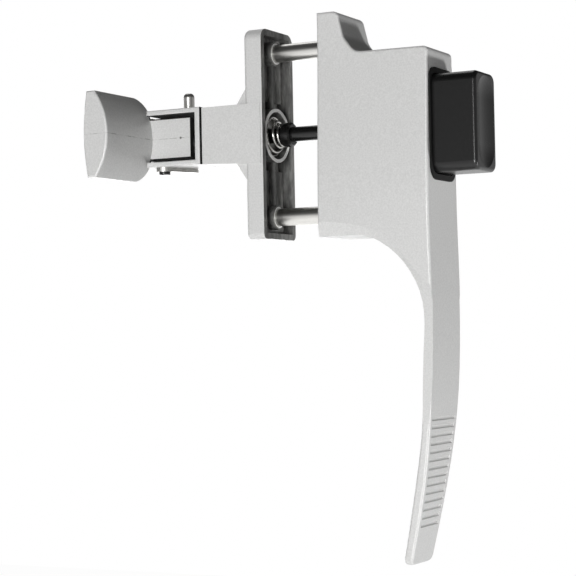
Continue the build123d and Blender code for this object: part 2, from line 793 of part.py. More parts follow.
keeper_head_z = arm_bottom_z - keeper_t - keeper_head_h
with BuildPart() as keeper_screw:
    with BuildSketch(Plane.XY.offset(keeper_head_z)):
        with Locations((keeper_x, keeper_y)):
            Circle(2 * keeper_screw_r)
    extrude(amount=keeper_head_h)
    fillet(keeper_screw.edges().group_by(Axis.Z)[0], keeper_head_h / 2)
    with BuildSketch(Plane.XY.offset(keeper_head_z + keeper_head_h)):
        with Locations((keeper_x, keeper_y)):
            Circle(keeper_screw_r)
    extrude(amount=keeper_t + clevis_arm - thread_short)
    with Locations((keeper_x, keeper_y, keeper_head_z)):
        Box(keeper_screw_r / 2, 5 * keeper_screw_r, keeper_head_h, mode=Mode.SUBTRACT)
keeper_screw.part.label = "keeper_screw"
export_step(keeper_screw.part, "parts/keeper_screw.step")

# washer at the bottom of the ring boss, under the tapered spring
with BuildPart() as spring_washer:
    with BuildSketch(Plane.YZ.offset(floor_x)):
        Circle(ring_r - ring_wall - washer_gap)
        Circle(plunger_r + free_gap, mode=Mode.SUBTRACT)
    extrude(amount=washer_t)
spring_washer.part.label = "spring_washer"
export_step(spring_washer.part, "parts/spring_washer.step")

# button spring round the plunger, between the back plate and the clip
button_spring_start = recess_x + button_wire / 2
button_spring_end = button_hub_x - clip_t - button_wire / 2
button_spring_len = button_spring_end - button_spring_start
with BuildPart() as button_spring:
    with BuildLine() as button_coil:
        Helix(
            button_spring_len / button_turns,
            button_spring_len,
            button_coil_r,
            center=(button_spring_start, 0, 0),
            direction=(1, 0, 0),
        )
    with BuildSketch(Plane(button_coil.wire() @ 0, z_dir=button_coil.wire() % 0)):
        Circle(button_wire / 2)
    sweep(path=button_coil.wire(), is_frenet=True)
button_spring.part.label = "button_spring"
export_step(button_spring.part, "parts/button_spring.step")

# tapered spring that brings the plunger back
cone_start = floor_x + washer_t + cone_wire / 2 + seat_play
cone_end = collar_x - collar_t - cone_wire / 2 - seat_play
cone_big = ring_r - ring_wall - cone_wire / 2 - cone_gap
cone_small = plunger_r + cone_wire / 2 + cone_gap
cone_angle = math.degrees(math.atan((cone_big - cone_small) / (cone_end - cone_start)))
with BuildPart() as plunger_spring:
    with BuildLine() as cone_coil:
        Helix(
            (cone_end - cone_start) / cone_turns,
            cone_end - cone_start,
            cone_big,
            center=(cone_start, 0, 0),
            direction=(1, 0, 0),
            cone_angle=-cone_angle,
        )
    with BuildSketch(Plane(cone_coil.wire() @ 0, z_dir=cone_coil.wire() % 0)):
        Circle(cone_wire / 2)
    sweep(path=cone_coil.wire(), is_frenet=True)
plunger_spring.part.label = "plunger_spring"
export_step(plunger_spring.part, "parts/plunger_spring.step")

# torsion spring wound about the pin's axis: one leg on the clevis web, one in the latch's slot
latch_coil_r = pin_r + latch_wire / 2 + latch_coil_gap
latch_coil_h = latch_turns * (latch_wire + latch_wire_gap)
with BuildPart() as wound_spring:
    with BuildLine() as latch_coil:
        coil = Helix(
            latch_coil_h / latch_turns,
            latch_coil_h,
            latch_coil_r,
            center=(pin_x, pin_y, -latch_coil_h / 2),
            mode=Mode.PRIVATE,
        )
        add(coil.rotate(Axis((pin_x, pin_y, 0), (0, 0, 1)), 90))
    with BuildSketch(Plane(latch_coil.wire() @ 0, z_dir=latch_coil.wire() % 0)):
        Circle(latch_wire / 2)
    sweep(path=latch_coil.wire(), is_frenet=True)
    with BuildSketch(Plane.YZ.offset(pin_x)):
        with Locations((pin_y + latch_coil_r, -latch_coil_h / 2)):
            Circle(latch_wire / 2)
    extrude(amount=web_left_x - latch_leg_gap - pin_x)
    with BuildSketch(Plane.YZ.offset(pin_x)):
        with Locations((pin_y + latch_coil_r, latch_coil_h / 2)):
            Circle(latch_wire / 2)
    extrude(amount=-latch_leg)

# the wound spring at mid-height between the arms
with BuildPart() as latch_spring:
    add(wound_spring.part.moved(Location((0, 0, clevis_z))))
latch_spring.part.label = "latch_spring"
export_step(latch_spring.part, "parts/latch_spring.step")
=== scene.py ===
import bmesh
import bpy
import json
import math
from mathutils import Matrix, Vector


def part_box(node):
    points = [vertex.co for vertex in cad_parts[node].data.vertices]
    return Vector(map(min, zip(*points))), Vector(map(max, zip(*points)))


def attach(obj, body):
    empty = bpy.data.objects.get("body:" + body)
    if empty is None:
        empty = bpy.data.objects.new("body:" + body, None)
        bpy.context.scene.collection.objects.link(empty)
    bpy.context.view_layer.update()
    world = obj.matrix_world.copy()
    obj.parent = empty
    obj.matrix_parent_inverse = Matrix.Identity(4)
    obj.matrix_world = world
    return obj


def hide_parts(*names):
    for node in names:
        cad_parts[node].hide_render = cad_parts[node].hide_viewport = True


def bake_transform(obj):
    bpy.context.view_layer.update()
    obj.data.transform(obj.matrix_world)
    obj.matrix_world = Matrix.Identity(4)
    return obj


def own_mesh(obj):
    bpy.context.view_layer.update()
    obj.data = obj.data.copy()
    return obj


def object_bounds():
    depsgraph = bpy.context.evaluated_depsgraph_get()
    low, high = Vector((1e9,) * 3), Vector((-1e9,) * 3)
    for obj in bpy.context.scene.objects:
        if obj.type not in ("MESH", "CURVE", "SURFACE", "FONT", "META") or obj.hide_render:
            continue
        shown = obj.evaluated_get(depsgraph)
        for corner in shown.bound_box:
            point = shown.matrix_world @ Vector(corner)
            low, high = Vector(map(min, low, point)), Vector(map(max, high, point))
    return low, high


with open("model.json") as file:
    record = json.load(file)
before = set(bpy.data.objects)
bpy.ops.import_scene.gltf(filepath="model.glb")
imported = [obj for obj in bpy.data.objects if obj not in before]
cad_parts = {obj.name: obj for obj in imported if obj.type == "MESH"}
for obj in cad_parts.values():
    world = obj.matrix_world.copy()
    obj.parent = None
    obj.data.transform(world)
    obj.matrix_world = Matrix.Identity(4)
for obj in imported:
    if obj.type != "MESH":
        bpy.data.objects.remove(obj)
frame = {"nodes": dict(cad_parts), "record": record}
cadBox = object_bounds()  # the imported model's own box, before anything is dressed
nodes = frame["nodes"]
mm = 0.001
print("frame loaded,", len(nodes), "pieces")


def toLinear(hexColour):  # sRGB hex to the linear colour that shaders take
    parts = [int(hexColour[i:i + 2], 16) / 255 for i in (1, 3, 5)]
    linear = [c / 12.92 if c <= 0.04045 else ((c + 0.055) / 1.055) ** 2.4 for c in parts]
    return (*linear, 1.0)


def addNode(tree, kind, settings=None, links=None):  # one node with its settings and its incoming links
    node = tree.nodes.new(kind)
    for key, value in (settings or {}).items():
        if key == "stops":  # a colour ramp's (place, hex) pairs
            marks = node.color_ramp.elements
            for place, _ in value[2:]:
                marks.new(place)
            for mark, (place, colour) in zip(marks, value):
                mark.position = place
                mark.color = toLinear(colour)
        elif isinstance(key, int) or key in node.inputs:
            node.inputs[key].default_value = value
        else:
            setattr(node, key, value)
    for key, (source, output) in (links or {}).items():
        tree.links.new(source.outputs[output], node.inputs[key])
    return node


def newMaterial(name):  # an empty material with its Principled shader, and the object coordinates
    material = bpy.data.materials.new(name)
    material.use_nodes = True
    tree = material.node_tree
    shader = next(n for n in tree.nodes if n.type == "BSDF_PRINCIPLED")
    place = addNode(tree, "ShaderNodeTexCoord")
    return material, tree, shader, place


silverLacquer = {
    "colours": [(0.30, "#c6c6c5"), (0.50, "#cdcdcc"), (0.70, "#d4d4d3")],
    "grain": 0.45 * mm,  # flake clusters, drawn coarser than real flake so that they show
    "detail": 2.0,
    "fineness": 0.6,  # weight of the noise's finer layers
    "roughness": 0.44,
    "metallic": 0.10,
    "bump": 0.08,
    "bumpDepth": 0.05 * mm,
}


def addLacquer(tree, shader, place):  # the sprayed coat that all the castings share, and its colour
    speck = addNode(
        tree, "ShaderNodeTexNoise",
        {"Scale": 1 / silverLacquer["grain"], "Detail": silverLacquer["detail"],
         "Roughness": silverLacquer["fineness"]},
        {"Vector": (place, "Object")},
    )
    bump = addNode(
        tree, "ShaderNodeBump",
        {"Strength": silverLacquer["bump"], "Distance": silverLacquer["bumpDepth"]},
        {"Height": (speck, "Fac")},
    )
    tree.links.new(bump.outputs["Normal"], shader.inputs["Normal"])
    shader.inputs["Roughness"].default_value = silverLacquer["roughness"]
    shader.inputs["Metallic"].default_value = silverLacquer["metallic"]
    return addNode(tree, "ShaderNodeValToRGB", {"stops": silverLacquer["colours"]}, {"Fac": (speck, "Fac")})


def makeSilverLacquer():  # sprayed silver lacquer on die-cast zinc: pale, satin, finely speckled
    material, tree, shader, place = newMaterial("silverLacquerOnZinc")
    coat = addLacquer(tree, shader, place)
    tree.links.new(coat.outputs["Color"], shader.inputs["Base Color"])
    return material


# bare zinc, its colours kept dark to stand as painted shade in the escutcheon's hollow
bareZincAndShade = {
    "colours": [(0.36, "#4a4a49"), (0.52, "#646462"), (0.70, "#868684")],
    "streak": 1.3 * mm,
    "stretch": 4.0,  # the streaks run up and down
    "detail": 4.0,
    "fineness": 0.6,
}


def addBareZincAndShade(tree, place):  # dulled zinc as it left the die, with streaks from the melt, its tone darkened as painted shade for the hollow it lines
    stretched = addNode(
        tree, "ShaderNodeMapping", {"Scale": (1, 1, 1 / bareZincAndShade["stretch"])}, {"Vector": (place, "Object")},
    )
    streaks = addNode(
        tree, "ShaderNodeTexNoise",
        {"Scale": 1 / bareZincAndShade["streak"], "Detail": bareZincAndShade["detail"], "Roughness": bareZincAndShade["fineness"]},
        {"Vector": (stretched, 0)},
    )
    return addNode(tree, "ShaderNodeValToRGB", {"stops": bareZincAndShade["colours"]}, {"Fac": (streaks, "Fac")})


# near-black colours for grease and for painted shade in the gaps round the latch and the clevis
greaseAndShade = {
    "colours": [(0.36, "#121211"), (0.70, "#2a2a29")],
    "patch": 1.2 * mm,
    "detail": 3.0,
    "roughness": 0.95,
}


def addGreaseAndShade(tree, shader, place, hidden):  # dark matt grease, and painted shade, on the faces in the gaps round the clevis that the lacquer doesn't reach
    patches = addNode(
        tree, "ShaderNodeTexNoise", {"Scale": 1 / greaseAndShade["patch"], "Detail": greaseAndShade["detail"]},
        {"Vector": (place, "Object")},
    )
    matt = addNode(
        tree, "ShaderNodeMapRange",
        {"To Min": silverLacquer["roughness"], "To Max": greaseAndShade["roughness"]},
        {"Value": (hidden, 0)},
    )
    tree.links.new(matt.outputs["Result"], shader.inputs["Roughness"])
    return addNode(tree, "ShaderNodeValToRGB", {"stops": greaseAndShade["colours"]}, {"Fac": (patches, "Fac")})


latchCasting = {
    "line": 0.30 * mm,  # width of the parting line
    "lineColour": "#7c7c7b",
    "wear": 2.5 * mm,  # size of the patches where the line is worn
    "wearDetail": 2.0,
    "wearLevels": (0.40, 0.58),  # noise levels at which the line is most worn and at which it is whole
    "wornLine": 0.15,  # share of the line that shows where it is most worn
    "gate": 16.7 * mm,  # from the head's room side to the mark where the casting was cut from its runner
    "gateRadius": 0.42 * mm,
    "gateColour": "#5c5c5b",
    "nearSide": 23.5 * mm,  # from the nose to just behind the shank's near face, which has the gate mark
    "shank": 6.2 * mm,  # from the head's room side to where the grease and painted shade on the shank start
    "root": 22.9 * mm,  # from the nose to just short of the shank's near face
    "rebate": 5.35 * mm,  # a little under half the shank's height between its rebates
    "tail": 0.06 * mm,  # depth of the end of the tail that is greased and painted in shade
}


def makeLatchLacquer():  # the same coat, with a parting line, a gate mark, and grease with painted shade beside the clevis
    material, tree, shader, place = newMaterial("silverLacquerWithPartingLine")
    coat = addLacquer(tree, shader, place)
    low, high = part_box("latch")
    middle = (low.z + high.z) / 2
    split = addNode(tree, "ShaderNodeSeparateXYZ", links={"Vector": (place, "Object")})
    above = addNode(tree, "ShaderNodeMath", {"operation": "SUBTRACT", 1: middle}, {0: (split, "Z")})
    away = addNode(tree, "ShaderNodeMath", {"operation": "ABSOLUTE"}, {0: (above, 0)})
    line = addNode(
        tree, "ShaderNodeMapRange", {"From Min": latchCasting["line"] / 2, "From Max": 0.0},
        {"Value": (away, 0)},
    )
    patches = addNode(
        tree, "ShaderNodeTexNoise", {"Scale": 1 / latchCasting["wear"], "Detail": latchCasting["wearDetail"]},
        {"Vector": (place, "Object")},
    )
    worn, whole = latchCasting["wearLevels"]
    wear = addNode(
        tree, "ShaderNodeMapRange",
        {"From Min": worn, "From Max": whole, "To Min": latchCasting["wornLine"]},
        {"Value": (patches, "Fac")},
    )
    shown = addNode(tree, "ShaderNodeMath", {"operation": "MULTIPLY"}, {0: (line, 0), 1: (wear, 0)})
    lined = addNode(  # a colour Mix takes its two colours at inputs 6 and 7 and gives the result at output 2
        tree, "ShaderNodeMix", {"data_type": "RGBA", 7: toLinear(latchCasting["lineColour"])},
        {0: (shown, 0), 6: (coat, "Color")},
    )
    fromGate = addNode(
        tree, "ShaderNodeMath", {"operation": "SUBTRACT", 1: low.x + latchCasting["gate"]}, {0: (split, "X")},
    )
    spot = addNode(tree, "ShaderNodeCombineXYZ", links={"X": (fromGate, 0), "Z": (above, 0)})
    reach = addNode(tree, "ShaderNodeVectorMath", {"operation": "LENGTH"}, {0: (spot, 0)})
    gate = addNode(
        tree, "ShaderNodeMapRange",
        {"From Min": latchCasting["gateRadius"], "From Max": latchCasting["gateRadius"] / 2},
        {"Value": (reach, "Value")},
    )
    nearSide = addNode(
        tree, "ShaderNodeMath", {"operation": "LESS_THAN", 1: low.y + latchCasting["nearSide"]},
        {0: (split, "Y")},
    )
    gateShown = addNode(tree, "ShaderNodeMath", {"operation": "MULTIPLY"}, {0: (gate, 0), 1: (nearSide, 0)})
    marked = addNode(
        tree, "ShaderNodeMix", {"data_type": "RGBA", 7: toLinear(latchCasting["gateColour"])},
        {0: (gateShown, 0), 6: (lined, 2)},
    )
    onShank = addNode(
        tree, "ShaderNodeMath", {"operation": "GREATER_THAN", 1: low.x + latchCasting["shank"]},
        {0: (split, "X")},
    )
    pastNose = addNode(
        tree, "ShaderNodeMath", {"operation": "GREATER_THAN", 1: low.y + latchCasting["root"]},
        {0: (split, "Y")},
    )
    behind = addNode(tree, "ShaderNodeMath", {"operation": "MULTIPLY"}, {0: (onShank, 0), 1: (pastNose, 0)})
    atArms = addNode(
        tree, "ShaderNodeMath", {"operation": "GREATER_THAN", 1: latchCasting["rebate"]}, {0: (away, 0)},
    )
    sides = addNode(tree, "ShaderNodeMath", {"operation": "MULTIPLY"}, {0: (behind, 0), 1: (atArms, 0)})
    tail = addNode(
        tree, "ShaderNodeMath", {"operation": "GREATER_THAN", 1: high.x - latchCasting["tail"]},
        {0: (split, "X")},
    )
    hidden = addNode(tree, "ShaderNodeMath", {"operation": "MAXIMUM"}, {0: (sides, 0), 1: (tail, 0)})
    # grease and painted shade on the shank's rebates and the tail's end, in the gaps beside the clevis
    greaseAndShadeColour = addGreaseAndShade(tree, shader, place, hidden)
    mix = addNode(
        tree, "ShaderNodeMix", {"data_type": "RGBA"},
        {0: (hidden, 0), 6: (marked, 2), 7: (greaseAndShadeColour, "Color")},
    )
    tree.links.new(mix.outputs[2], shader.inputs["Base Color"])
    return material


clevisCasting = {
    "window": 15.5 * mm,  # from the arms' ends to just inside the web
    "web": 17.0 * mm,  # from the arms' ends to just short of the web's far side
    "arm": 1.33 * mm,  # a little under the arms' thickness
}


def makeClevisLacquer():  # the same coat outside, grease with painted shade in the latch's window and round the tang
    material, tree, shader, place = newMaterial("silverLacquerOnClevis")
    coat = addLacquer(tree, shader, place)
    low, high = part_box("clevis")
    middle = (low.z + high.z) / 2
    split = addNode(tree, "ShaderNodeSeparateXYZ", links={"Vector": (place, "Object")})
    above = addNode(tree, "ShaderNodeMath", {"operation": "SUBTRACT", 1: middle}, {0: (split, "Z")})
    away = addNode(tree, "ShaderNodeMath", {"operation": "ABSOLUTE"}, {0: (above, 0)})
    between = addNode(
        tree, "ShaderNodeMath", {"operation": "LESS_THAN", 1: high.z - middle - clevisCasting["arm"]},
        {0: (away, 0)},
    )
    along = addNode(
        tree, "ShaderNodeMath", {"operation": "LESS_THAN", 1: low.x + clevisCasting["window"]},
        {0: (split, "X")},
    )
    window = addNode(tree, "ShaderNodeMath", {"operation": "MULTIPLY"}, {0: (between, 0), 1: (along, 0)})
    tang = addNode(
        tree, "ShaderNodeMath", {"operation": "GREATER_THAN", 1: low.x + clevisCasting["web"]},
        {0: (split, "X")},
    )
    hidden = addNode(tree, "ShaderNodeMath", {"operation": "MAXIMUM"}, {0: (window, 0), 1: (tang, 0)})
    # grease and painted shade in the window and on the web's far side and the tang
    greaseAndShadeColour = addGreaseAndShade(tree, shader, place, hidden)
    mix = addNode(
        tree, "ShaderNodeMix", {"data_type": "RGBA"},
        {0: (hidden, 0), 6: (coat, "Color"), 7: (greaseAndShadeColour, "Color")},
    )
    tree.links.new(mix.outputs[2], shader.inputs["Base Color"])
    return material


escutcheonCasting = {
    "paintedHighlight": "#efefed",  # painted highlight on the tops of the bosses and the ring
    "inset": 1.1 * mm,  # from the stem's sides, and from the flange's ends, to inside the flange's wall
    "hollow": 4.7 * mm,  # depth of the side in bare zinc and painted shade, to the middle of the room-side wall
    "lip": 0.10 * mm,  # the rim that bears on the door
    "bossTop": (0.42 * mm, 0.22 * mm),  # depths below the rim between which the painted highlight lies, on the tops of the bosses and the ring
    "bossRing": 0.5 * mm,  # width of the painted highlight ring round each post
    "plungerRing": 7.35 * mm,  # just past the outer radius of the ring round the plunger
}


def makeEscutcheonLacquer():  # the same coat outside; in the hollow that faces the door, bare zinc toned dark as painted shade, and a painted highlight on the tops of the bosses and the ring
    material, tree, shader, place = newMaterial("silverLacquerOverShadedBareZinc")
    coat = addLacquer(tree, shader, place)
    bareAndShade = addBareZincAndShade(tree, place)
    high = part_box("escutcheon")[1]
    split = addNode(tree, "ShaderNodeSeparateXYZ", links={"Vector": (place, "Object")})
    wide = addNode(tree, "ShaderNodeMath", {"operation": "ABSOLUTE"}, {0: (split, "Y")})
    tall = addNode(tree, "ShaderNodeMath", {"operation": "ABSOLUTE"}, {0: (split, "Z")})
    between = addNode(
        tree, "ShaderNodeMath", {"operation": "LESS_THAN", 1: high.y - escutcheonCasting["inset"]},
        {0: (wide, 0)},
    )
    below = addNode(
        tree, "ShaderNodeMath", {"operation": "LESS_THAN", 1: high.z - escutcheonCasting["inset"]},
        {0: (tall, 0)},
    )
    within = addNode(tree, "ShaderNodeMath", {"operation": "MULTIPLY"}, {0: (between, 0), 1: (below, 0)})
    deep = addNode(
        tree, "ShaderNodeMath", {"operation": "GREATER_THAN", 1: high.x - escutcheonCasting["hollow"]},
        {0: (split, "X")},
    )
    rim = addNode(
        tree, "ShaderNodeMath", {"operation": "GREATER_THAN", 1: high.x - escutcheonCasting["lip"]},
        {0: (split, "X")},
    )
    floor = addNode(tree, "ShaderNodeMath", {"operation": "MULTIPLY"}, {0: (within, 0), 1: (deep, 0)})
    hollow = addNode(tree, "ShaderNodeMath", {"operation": "MAXIMUM"}, {0: (rim, 0), 1: (floor, 0)})
    # the band where the painted highlight goes: the tops of the bosses and of the ring round the plunger
    fromDepth, toDepth = escutcheonCasting["bossTop"]
    under = addNode(
        tree, "ShaderNodeMath", {"operation": "GREATER_THAN", 1: high.x - fromDepth}, {0: (split, "X")},
    )
    over = addNode(
        tree, "ShaderNodeMath", {"operation": "LESS_THAN", 1: high.x - toDepth}, {0: (split, "X")},
    )
    band = addNode(tree, "ShaderNodeMath", {"operation": "MULTIPLY"}, {0: (under, 0), 1: (over, 0)})
    postLow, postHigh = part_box("upper_post")
    postHeight = (postLow.z + postHigh.z) / 2
    ringRadius = (postHigh.z - postLow.z) / 2 + escutcheonCasting["bossRing"]
    fromPost = addNode(tree, "ShaderNodeMath", {"operation": "SUBTRACT", 1: postHeight}, {0: (tall, 0)})
    spot = addNode(tree, "ShaderNodeCombineXYZ", links={"Y": (split, "Y"), "Z": (fromPost, 0)})
    reach = addNode(tree, "ShaderNodeVectorMath", {"operation": "LENGTH"}, {0: (spot, 0)})
    atPost = addNode(
        tree, "ShaderNodeMath", {"operation": "LESS_THAN", 1: ringRadius}, {0: (reach, "Value")},
    )
    fromPlunger = addNode(tree, "ShaderNodeCombineXYZ", links={"Y": (split, "Y"), "Z": (split, "Z")})
    span = addNode(tree, "ShaderNodeVectorMath", {"operation": "LENGTH"}, {0: (fromPlunger, 0)})
    atPlunger = addNode(
        tree, "ShaderNodeMath", {"operation": "LESS_THAN", 1: escutcheonCasting["plungerRing"]},
        {0: (span, "Value")},
    )
    cut = addNode(tree, "ShaderNodeMath", {"operation": "MAXIMUM"}, {0: (atPost, 0), 1: (atPlunger, 0)})
    paintedHighlight = addNode(tree, "ShaderNodeMath", {"operation": "MULTIPLY"}, {0: (cut, 0), 1: (band, 0)})
    # painted highlight: a near-white colour over the bare zinc on those tops
    inside = addNode(
        tree, "ShaderNodeMix", {"data_type": "RGBA", 7: toLinear(escutcheonCasting["paintedHighlight"])},
        {0: (paintedHighlight, 0), 6: (bareAndShade, "Color")},
    )
    # the hollow and its rim take the bare zinc, toned dark as painted shade
    both = addNode(
        tree, "ShaderNodeMix", {"data_type": "RGBA"}, {0: (hollow, 0), 6: (coat, "Color"), 7: (inside, 2)},
    )
    tree.links.new(both.outputs[2], shader.inputs["Base Color"])
    return material


platedSteel = {
    "colours": [(0.0, "#b4b3af"), (1.0, "#dcdbd8")],
    "turning": 0.22 * mm,  # pitch of the lathe marks
    "bandPeriod": 0.314,  # the wave texture's bands repeat at this length at scale 1
    "distortion": 1.5,
    "detail": 2.0,
    "detailScale": 1.2,
    "roughness": 0.30,
    "bump": 0.06,
    "bumpDepth": 0.03 * mm,
}


def makePlatedSteel(name, axis):  # bright zinc on turned steel: shiny, with fine rings from the lathe
    material, tree, shader, place = newMaterial(name)
    marks = addNode(
        tree, "ShaderNodeTexWave",
        {"wave_type": "BANDS", "bands_direction": axis,
         "Scale": platedSteel["bandPeriod"] / platedSteel["turning"],
         "Distortion": platedSteel["distortion"], "Detail": platedSteel["detail"],
         "Detail Scale": platedSteel["detailScale"]},
        {"Vector": (place, "Object")},
    )
    ramp = addNode(tree, "ShaderNodeValToRGB", {"stops": platedSteel["colours"]}, {"Fac": (marks, "Fac")})
    tree.links.new(ramp.outputs["Color"], shader.inputs["Base Color"])
    bump = addNode(
        tree, "ShaderNodeBump", {"Strength": platedSteel["bump"], "Distance": platedSteel["bumpDepth"]},
        {"Height": (marks, "Fac")},
    )
    tree.links.new(bump.outputs["Normal"], shader.inputs["Normal"])
    shader.inputs["Metallic"].default_value = 1.0
    shader.inputs["Roughness"].default_value = platedSteel["roughness"]
    return material


grainedFinishes = {
    "brightZincOnSheet": {  # bright zinc on stamped sheet: flat, faintly spangled
        "colours": [(0.40, "#a6a5a2"), (0.60, "#b8b7b4")],
        "grain": 1.6 * mm,
        "detail": 2.0,
        "surface": {"Metallic": 1.0, "Roughness": 0.36},
    },
    "drawnSpringWire": {  # drawn steel wire: smooth, with a little die streaking
        "colours": [(0.35, "#8f8e8b"), (0.65, "#c3c2bf")],
        "grain": 0.4 * mm,
        "detail": 3.0,
        "surface": {"Metallic": 1.0, "Roughness": 0.24},
    },
    "mouldedBlackAbs": {  # injection moulded ABS, black: soft gloss with a faint mould grain
        "colours": [(0.35, "#0a0a0a"), (0.65, "#111111")],
        "grain": 0.5 * mm,
        "detail": 3.0,
        "surface": {"Roughness": 0.26, "IOR": 1.53, "Specular IOR Level": 0.36},
        "bump": 0.05,
        "bumpDepth": 0.03 * mm,
    },
    "mattBlackRubber": {  # the thin frame round the button: black, hardly any shine
        "colours": [(0.35, "#060606"), (0.65, "#0c0c0c")],
        "grain": 0.3 * mm,
        "detail": 2.0,
        "surface": {"Roughness": 0.75, "Specular IOR Level": 0.25},
    },
    "blackOxideOnSteel": {  # black oxide on steel: near black with a thin sharp highlight
        "colours": [(0.3, "#080808"), (0.7, "#121212")],
        "grain": 0.35 * mm,
        "detail": 2.0,
        "surface": {"Roughness": 0.20},
    },
}


def makeGrainedFinish(name):  # a fine grain in the colour, and in the relief where the finish has some
    finish = grainedFinishes[name]
    material, tree, shader, place = newMaterial(name)
    grain = addNode(
        tree, "ShaderNodeTexNoise", {"Scale": 1 / finish["grain"], "Detail": finish["detail"]},
        {"Vector": (place, "Object")},
    )
    ramp = addNode(tree, "ShaderNodeValToRGB", {"stops": finish["colours"]}, {"Fac": (grain, "Fac")})
    tree.links.new(ramp.outputs["Color"], shader.inputs["Base Color"])
    if "bump" in finish:
        bump = addNode(
            tree, "ShaderNodeBump", {"Strength": finish["bump"], "Distance": finish["bumpDepth"]},
            {"Height": (grain, "Fac")},
        )
        tree.links.new(bump.outputs["Normal"], shader.inputs["Normal"])
    for socket, value in finish["surface"].items():
        shader.inputs[socket].default_value = value
    return material


finishes = {  # by the record's material slots
    "silver_paint": makeSilverLacquer(),
    "zinc_steel": makePlatedSteel("brightZincOnSteel", "X"),
    "spring_wire": makeGrainedFinish("drawnSpringWire"),
    "button_black": makeGrainedFinish("mouldedBlackAbs"),
    "black_oxide": makeGrainedFinish("blackOxideOnSteel"),
}
sheet = makeGrainedFinish("brightZincOnSheet")
upright = makePlatedSteel("brightZincOnPin", "Z")  # for turned pieces that stand upright
ownFinishes = {  # pieces whose finish differs from their slot's
    "latch": makeLatchLacquer(),
    "clevis": makeClevisLacquer(),
    "escutcheon": makeEscutcheonLacquer(),
    "button_seal": makeGrainedFinish("mattBlackRubber"),
    "hinge_pin": upright,
    "clevis_screw": upright,
    "pin_keeper": sheet,
    "back_plate": sheet,
    "plunger_clip": sheet,
    "spring_washer": sheet,
}
for row in frame["record"]["subparts"]:
    piece = nodes[row["node"]]
    piece.data.materials.clear()
    piece.data.materials.append(ownFinishes.get(row["node"]) or finishes[row["material_slot"]])


springs = {
    "button_spring": {"wireRadius": 0.45 * mm, "turns": 9.0, "taper": 1.0, "joint": "button_slide"},
    "plunger_spring": {"wireRadius": 0.40 * mm, "turns": 4.0, "taper": 0.53, "joint": "button_slide"},
}
coilForm = {
    "steps": 36,  # points along each turn
    "sides": 12,  # faces round the wire
    "closedEnds": 6.0,  # wire radii of the length that the two closed end turns take up
}


